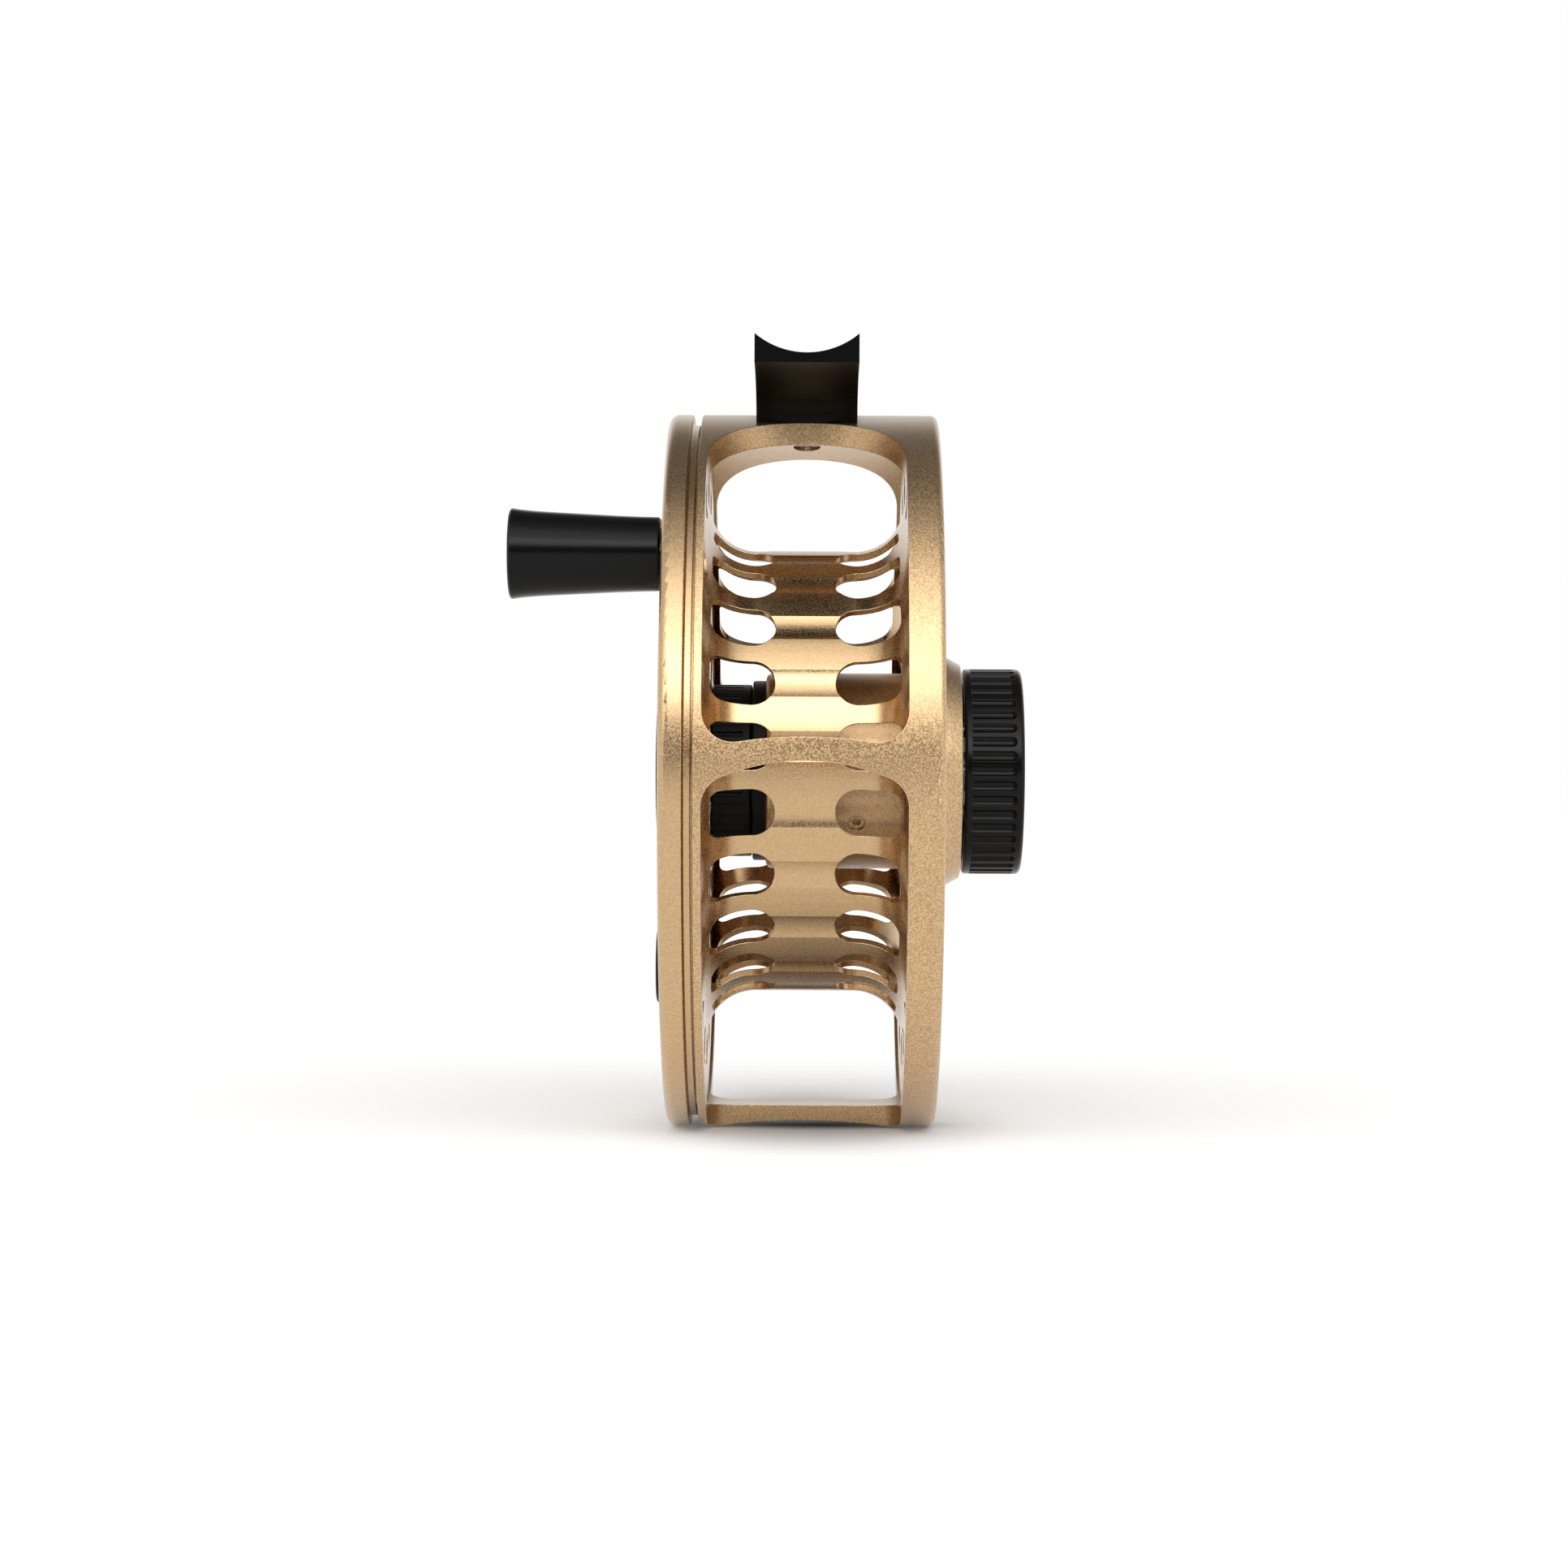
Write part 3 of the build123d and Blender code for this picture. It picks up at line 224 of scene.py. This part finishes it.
finishes = {
    "frame_gold": blasted_gold("frame_gold", 0.35, 1.0),
    "spool_gold": blasted_gold("spool_gold", 0.28, 0.45),
    "black_anodised": satin_black("satin_black_anodised", 0.003, 0.18, 0.15),
    "black_hub": satin_black("matt_black_acetal", 0.005, 0.35, 0.15),
    "screw_steel": turned_metal("blackened_screw_steel", (0.42, 0.41, 0.40), 0.30),
    "spindle_steel": turned_metal("ground_spindle_steel", (0.62, 0.62, 0.63), 0.20, 500.0),
    "bearing_steel": turned_metal("polished_bearing_steel", (0.68, 0.68, 0.69), 0.12, 500.0),
    "disc_steel": turned_metal("brushed_disc_steel", (0.55, 0.56, 0.57), 0.28, 200.0),
    "bronze": turned_metal("sintered_bronze", (0.55, 0.33, 0.14), 0.36),
    "acetal_white": moulded("natural_acetal", (0.72, 0.70, 0.65), 0.42, 0.06),
    "seal_rubber": moulded("seal_rubber", (0.02, 0.02, 0.021), 0.55, 0.3),
    "carbon_fibre": woven_carbon("carbon_drag_face"),
}
# the foot gets a darker, duller copy of the black anodised finish: its darker colour is painted shade, and
# its rougher, less shiny surface is the foot's own finish
foot_black_painted_shade = satin_black("satin_black_foot_painted_shade", 0.002, 0.30, 0.08)
slots = {part["node"]: part["material_slot"] for part in frame["record"]["subparts"]}
for name, node in nodes.items():
    node.data.materials.clear()
    node.data.materials.append(foot_black_painted_shade if name == "reel_foot" else finishes[slots[name]])


# ---- floor, light and camera ----
FLOOR_REACH = 6.0
FLOOR_ALBEDO = 0.86
FLOOR_GLOW = 0.20
CONTACT_SHIFT = 1.5 * MM  # from the middle of the frame to the middle of what stands on the floor
# each painted shadow patch under the reel: its reach along and across the spin axis, and how dark it is
# painted
PAINTED_SHADOW_PATCHES = [((30 * MM, 52 * MM), 0.50), ((22 * MM, 10 * MM), 0.85)]


def make_floor():
    """White paper that glows a little, with a painted shadow under the reel that darkens its colour and its
    glow.
    """
    quarters = ((-1, -1), (1, -1), (1, 1), (-1, 1))
    corners = [(x * FLOOR_REACH, y * FLOOR_REACH, floor_z) for x, y in quarters]
    mesh = bpy.data.meshes.new("floor")
    mesh.from_pydata(corners, [], [(0, 1, 2, 3)])
    floor = bpy.data.objects.new("floor", mesh)
    bpy.context.scene.collection.objects.link(floor)
    paper = Finish("white_paper", Roughness=0.8, Specular_IOR_Level=0.1)
    contact_x = (frame_low.x + frame_high.x) / 2 - CONTACT_SHIFT
    # light is the painted shadow: 1 on open paper and lower under the reel, and it darkens both the paper's
    # colour and its glow
    light = 1.0
    for (along, across), depth in PAINTED_SHADOW_PATCHES:
        place = {"Vector": paper.place, "Scale": (1 / along, 1 / across, 0.0)}
        place["Location"] = (-contact_x / along, 0.0, 0.0)
        offset = paper.node("ShaderNodeMapping", {}, place)
        away = paper.node("ShaderNodeVectorMath", {"operation": "LENGTH"}, {0: offset}, "Value")
        fade = {"Value": away, "From Min": 0.0, "From Max": 1.0, "To Min": 1 - depth, "To Max": 1.0}
        smooth = {"interpolation_type": "SMOOTHSTEP"}
        light = light * paper.node("ShaderNodeMapRange", smooth, fade, "Result")
    paper.feed("Base Color", paper.blend(light, (0, 0, 0), [FLOOR_ALBEDO] * 3))
    paper.feed("Emission Color", paper.blend(light, (0, 0, 0), (1, 1, 1)))
    paper.surface.inputs["Emission Strength"].default_value = FLOOR_GLOW
    mesh.materials.append(paper.material)


BACKDROP = 1.0
# light from the front, over the top and round the back, by the angle up from the reel's front
SKY = [
    (-180, BACKDROP), (-150, BACKDROP), (-60, 0.45), (-16, 0.05), (12, 0.06), (18, 0.8), (24, 4.2),
    (34, 4.8), (42, 2.6), (57, 2.1), (74, 0.7), (100, 0.14), (138, 0.16), (158, BACKDROP), (180, BACKDROP),
]
SKY_PEAK = 4.8
SIDE_LIGHT = 1.0
SIDE_BAND = (0.5, 0.92)  # how far to the side the front light begins to give way, and has done so


def make_world():
    """A studio with a wide soft light above the front, dark overhead and white behind."""
    world = bpy.data.worlds.new("studio")
    world.use_nodes = True
    tree = world.node_tree

    def add(kind, *inputs, **settings):
        made = tree.nodes.new(kind)
        for name, value in settings.items():
            setattr(made, name, value)
        for index, value in enumerate(inputs):
            if isinstance(value, (int, float)):
                made.inputs[index].default_value = value
            elif value is not None:
                tree.links.new(value, made.inputs[index])
        return made

    def maths(operation, *inputs):
        return add("ShaderNodeMath", *inputs, operation=operation).outputs[0]

    direction = add("ShaderNodeTexCoord").outputs["Generated"]
    x, y, z = add("ShaderNodeSeparateXYZ", direction).outputs
    angle = maths("ARCTAN2", z, maths("MULTIPLY", y, -1.0))
    ramp = add("ShaderNodeValToRGB", maths("MULTIPLY_ADD", angle, 0.5 / pi, 0.5))
    stops = ramp.color_ramp.elements
    while len(stops) > 1:
        stops.remove(stops[-1])
    for index, (degree, level) in enumerate(SKY):
        stop = stops[0] if index == 0 else stops.new(degree / 360 + 0.5)
        stop.position = degree / 360 + 0.5
        stop.color = (*[level / SKY_PEAK] * 3, 1)
    level = maths("MULTIPLY", ramp.outputs[0], SKY_PEAK)
    sideways = maths("ABSOLUTE", x)
    side = add("ShaderNodeMapRange", sideways, *SIDE_BAND, 0.0, 1.0, interpolation_type="SMOOTHSTEP")
    mixed = add("ShaderNodeMix", side.outputs[0], None, level, SIDE_LIGHT).outputs[0]
    background = tree.nodes["Background"]
    background.inputs["Color"].default_value = (1, 1, 1, 1)
    tree.links.new(mixed, background.inputs["Strength"])
    bpy.context.scene.world = world


SENSOR, LENS = 36.0, 86.65
CAMERA_SIDE, CAMERA_BACK, CAMERA_DROP = 0.64 * MM, 480.3 * MM, 1.7 * MM
CAMERA_ROLL, CAMERA_TURN = radians(-0.27), radians(0.40)


def make_camera():
    data = bpy.data.cameras.new("camera")
    data.sensor_width, data.lens = SENSOR, LENS
    data.clip_start, data.clip_end = 0.01, 50.0
    camera = bpy.data.objects.new("camera", data)
    camera.location = (CAMERA_SIDE, -CAMERA_BACK, spin_z - CAMERA_DROP)
    camera.rotation_euler = (radians(90), CAMERA_ROLL, CAMERA_TURN)
    bpy.context.scene.collection.objects.link(camera)
    bpy.context.scene.camera = camera


make_floor()
make_world()
make_camera()
bpy.context.scene.view_settings.view_transform = "Standard"
